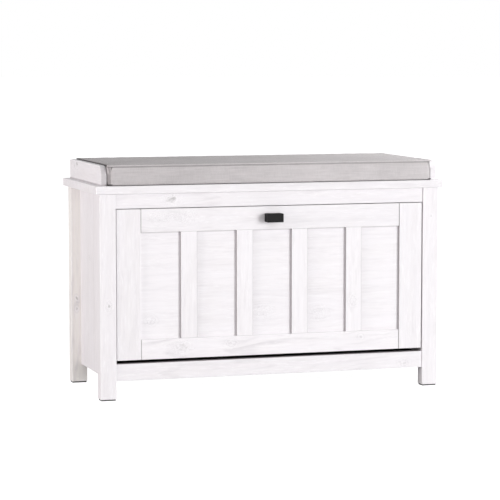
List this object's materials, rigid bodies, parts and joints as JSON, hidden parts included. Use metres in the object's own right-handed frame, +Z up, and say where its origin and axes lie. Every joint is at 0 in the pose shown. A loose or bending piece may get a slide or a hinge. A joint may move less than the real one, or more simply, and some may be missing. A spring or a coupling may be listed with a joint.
{
  "type": "shoe storage bench",
  "caption": "White wood-grain shoe bench: panelled flap tilts forward with a two-row shoe bin behind it; loose grey seat cushion between low side cheeks.",
  "frame": {"origin": "on the floor, under the middle of the bench's overall width and depth", "axes": "+Z up, the flap faces -Y, +X to the right seen from the front"},
  "size_m": [0.894, 0.38, 0.5741],
  "materials": {
    "white_pine": "white wood-grain foil, satin",
    "white_hardboard": "white painted hardboard, matte",
    "grey_fabric": "light warm grey plain weave",
    "black_metal": "black powder coat, matte",
    "grey_plastic": "moulded, fine grain",
    "bare_steel": "zinc plated",
    "beech_dowel": "bare beech",
    "dark_felt": "pressed felt"
  },
  "bodies": {
    "carcass": {"leg_front_left": "white_pine", "leg_front_right": "white_pine", "leg_rear_left": "white_pine", "leg_rear_right": "white_pine", "glide_front_left": "dark_felt", "glide_front_right": "dark_felt", "glide_rear_left": "dark_felt", "glide_rear_right": "dark_felt", "side_panel_left": "white_pine", "side_panel_right": "white_pine", "apron": "white_pine", "front_bottom_rail": "white_pine", "rear_top_rail": "white_pine", "rear_bottom_rail": "white_pine", "back_panel": "white_hardboard", "bottom_board": "white_pine", "seat_board": "white_pine", "cheek_left": "white_pine", "cheek_right": "white_pine", "pivot_bush_left": "grey_plastic", "pivot_bush_right": "grey_plastic", "stop_peg_left": "grey_plastic", "stop_peg_right": "grey_plastic", "dowel_apron_left": "beech_dowel", "dowel_apron_right": "beech_dowel", "dowel_front_bottom_rail_left": "beech_dowel", "dowel_front_bottom_rail_right": "beech_dowel", "dowel_rear_top_rail_left": "beech_dowel", "dowel_rear_top_rail_right": "beech_dowel", "dowel_rear_bottom_rail_left": "beech_dowel", "dowel_rear_bottom_rail_right": "beech_dowel"},
    "flap": {"door_stile_left": "white_pine", "door_stile_right": "white_pine", "door_top_rail": "white_pine", "door_bottom_rail": "white_pine", "door_mullion_1": "white_pine", "door_mullion_2": "white_pine", "door_mullion_3": "white_pine", "door_mullion_4": "white_pine", "door_panel": "white_pine", "handle": "black_metal", "handle_screw_left": "bare_steel", "handle_screw_right": "bare_steel", "pivot_pin_left": "bare_steel", "pivot_pin_right": "bare_steel", "bin_side_left": "grey_plastic", "bin_side_right": "grey_plastic", "bin_front_floor": "white_hardboard", "bin_divider": "white_hardboard", "bin_rear_floor": "white_hardboard", "bin_rear_board": "white_hardboard", "bin_screw_left_lower": "bare_steel", "bin_screw_left_upper": "bare_steel", "bin_screw_right_lower": "bare_steel", "bin_screw_right_upper": "bare_steel"},
    "cushion": {"seat_cushion": "grey_fabric"}
  },
  "joints": [
    {"name": "flap_tilt", "type": "hinge", "parent": "carcass", "child": "flap", "pos_m": [0, -0.151, 0.111], "axis": [1, 0, 0], "range_deg": [0, 48]},
    {"name": "cushion_lift", "type": "slide", "parent": "carcass", "child": "cushion", "axis": [0, 0, 1], "range_m": [0, 0.08]}
  ]
}
